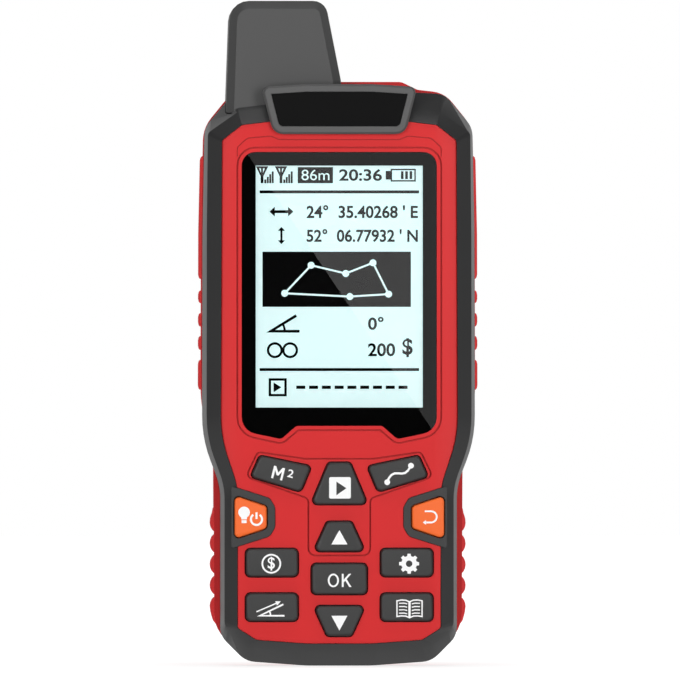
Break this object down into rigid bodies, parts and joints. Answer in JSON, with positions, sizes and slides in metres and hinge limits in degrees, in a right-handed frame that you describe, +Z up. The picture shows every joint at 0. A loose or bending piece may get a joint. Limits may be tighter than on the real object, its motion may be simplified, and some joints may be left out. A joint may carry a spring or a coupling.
{
  "type": "handheld land area meter",
  "caption": "Upright handheld land area meter with a red case in a black frame, a stub antenna, a display window and a keypad below it.",
  "frame": {"origin": "middle of the body's footprint, at the foot that it stands on", "axes": "+Z up along its length to the antenna, the screen and keys face -Y, +X to the right as seen from the front"},
  "size_m": [0.068, 0.034, 0.1614],
  "materials": {
    "red_shell": "fine moulded texture",
    "black_frame": "fine moulded texture",
    "badge_plate": "polished",
    "window_glass": "polished",
    "seal_rubber": "plain",
    "flap_rubber": "fine texture",
    "display_glass": "satin",
    "backlight": "plain",
    "flat_cable": "plain",
    "gold_contacts": "plated",
    "circuit_board": "solder mask",
    "steel": "bright zinc",
    "chip_black": "plain",
    "cell_can": "shrink sleeve",
    "patch_ceramic": "fired",
    "lead_jacket": "plain",
    "key_grey": "fine texture",
    "key_orange": "fine texture"
  },
  "bodies": {
    "housing": {"front_case": "red_shell", "bumper_frame": "black_frame", "badge_frame": "black_frame", "badge_plate": "badge_plate", "display_window": "window_glass", "window_tape": "seal_rubber", "display_glass": "display_glass", "backlight": "backlight", "display_cable": "flat_cable", "keypad_mat": "seal_rubber", "contact_pads": "gold_contacts", "main_board": "circuit_board", "shield_can": "steel", "board_chips": "chip_black", "buzzer": "chip_black", "board_screws": "steel", "case_screws": "steel", "case_seal": "seal_rubber", "rear_case": "red_shell", "door_seal": "seal_rubber", "battery_cell": "cell_can", "battery_contacts": "gold_contacts", "antenna_cover": "black_frame", "antenna_base": "black_frame", "antenna_board": "circuit_board", "patch_antenna": "patch_ceramic", "antenna_lead": "lead_jacket", "antenna_screws": "steel", "charge_board": "circuit_board", "usb_socket": "steel", "charge_cable": "flat_cable", "flap_pin": "steel", "strap_lug": "black_frame"},
    "key_area": {"key_area": "key_grey"},
    "key_start": {"key_start": "key_grey"},
    "key_distance": {"key_distance": "key_grey"},
    "key_power": {"key_power": "key_orange"},
    "key_back": {"key_back": "key_orange"},
    "key_up": {"key_up": "key_grey"},
    "key_ok": {"key_ok": "key_grey"},
    "key_down": {"key_down": "key_grey"},
    "key_price": {"key_price": "key_grey"},
    "key_settings": {"key_settings": "key_grey"},
    "key_slope": {"key_slope": "key_grey"},
    "key_records": {"key_records": "key_grey"},
    "battery_door": {"battery_door": "red_shell"},
    "door_screw_low": {"door_screw_low": "steel"},
    "door_screw_high": {"door_screw_high": "steel"},
    "usb_flap": {"usb_flap": "flap_rubber"}
  },
  "joints": [
    {"name": "key_area_press", "type": "slide", "parent": "housing", "child": "key_area", "axis": [0, 1, 0], "range_m": [0, 0.0007], "stiffness_N_per_m": 2500},
    {"name": "key_start_press", "type": "slide", "parent": "housing", "child": "key_start", "axis": [0, 1, 0], "range_m": [0, 0.0007], "stiffness_N_per_m": 2500},
    {"name": "key_distance_press", "type": "slide", "parent": "housing", "child": "key_distance", "axis": [0, 1, 0], "range_m": [0, 0.0007], "stiffness_N_per_m": 2500},
    {"name": "key_power_press", "type": "slide", "parent": "housing", "child": "key_power", "axis": [0, 1, 0], "range_m": [0, 0.0007], "stiffness_N_per_m": 2500},
    {"name": "key_back_press", "type": "slide", "parent": "housing", "child": "key_back", "axis": [0, 1, 0], "range_m": [0, 0.0007], "stiffness_N_per_m": 2500},
    {"name": "key_up_press", "type": "slide", "parent": "housing", "child": "key_up", "axis": [0, 1, 0], "range_m": [0, 0.0007], "stiffness_N_per_m": 2500},
    {"name": "key_ok_press", "type": "slide", "parent": "housing", "child": "key_ok", "axis": [0, 1, 0], "range_m": [0, 0.0007], "stiffness_N_per_m": 2500},
    {"name": "key_down_press", "type": "slide", "parent": "housing", "child": "key_down", "axis": [0, 1, 0], "range_m": [0, 0.0007], "stiffness_N_per_m": 2500},
    {"name": "key_price_press", "type": "slide", "parent": "housing", "child": "key_price", "axis": [0, 1, 0], "range_m": [0, 0.0007], "stiffness_N_per_m": 2500},
    {"name": "key_settings_press", "type": "slide", "parent": "housing", "child": "key_settings", "axis": [0, 1, 0], "range_m": [0, 0.0007], "stiffness_N_per_m": 2500},
    {"name": "key_slope_press", "type": "slide", "parent": "housing", "child": "key_slope", "axis": [0, 1, 0], "range_m": [0, 0.0007], "stiffness_N_per_m": 2500},
    {"name": "key_records_press", "type": "slide", "parent": "housing", "child": "key_records", "axis": [0, 1, 0], "range_m": [0, 0.0007], "stiffness_N_per_m": 2500},
    {"name": "battery_door_lift", "type": "slide", "parent": "housing", "child": "battery_door", "axis": [0, 1, 0], "range_m": [0, 0.03]},
    {"name": "door_screw_low_turn", "type": "hinge", "parent": "battery_door", "child": "door_screw_low", "pos_m": [0, 0.016, 0.0175], "axis": [0, 1, 0], "continuous": true},
    {"name": "door_screw_high_turn", "type": "hinge", "parent": "battery_door", "child": "door_screw_high", "pos_m": [0, 0.016, 0.0955], "axis": [0, 1, 0], "continuous": true},
    {"name": "usb_flap_hinge", "type": "hinge", "parent": "housing", "child": "usb_flap", "pos_m": [0.0092, 0.0124, 0.14105], "axis": [-1, 0, 0], "range_deg": [0, 110]}
  ]
}
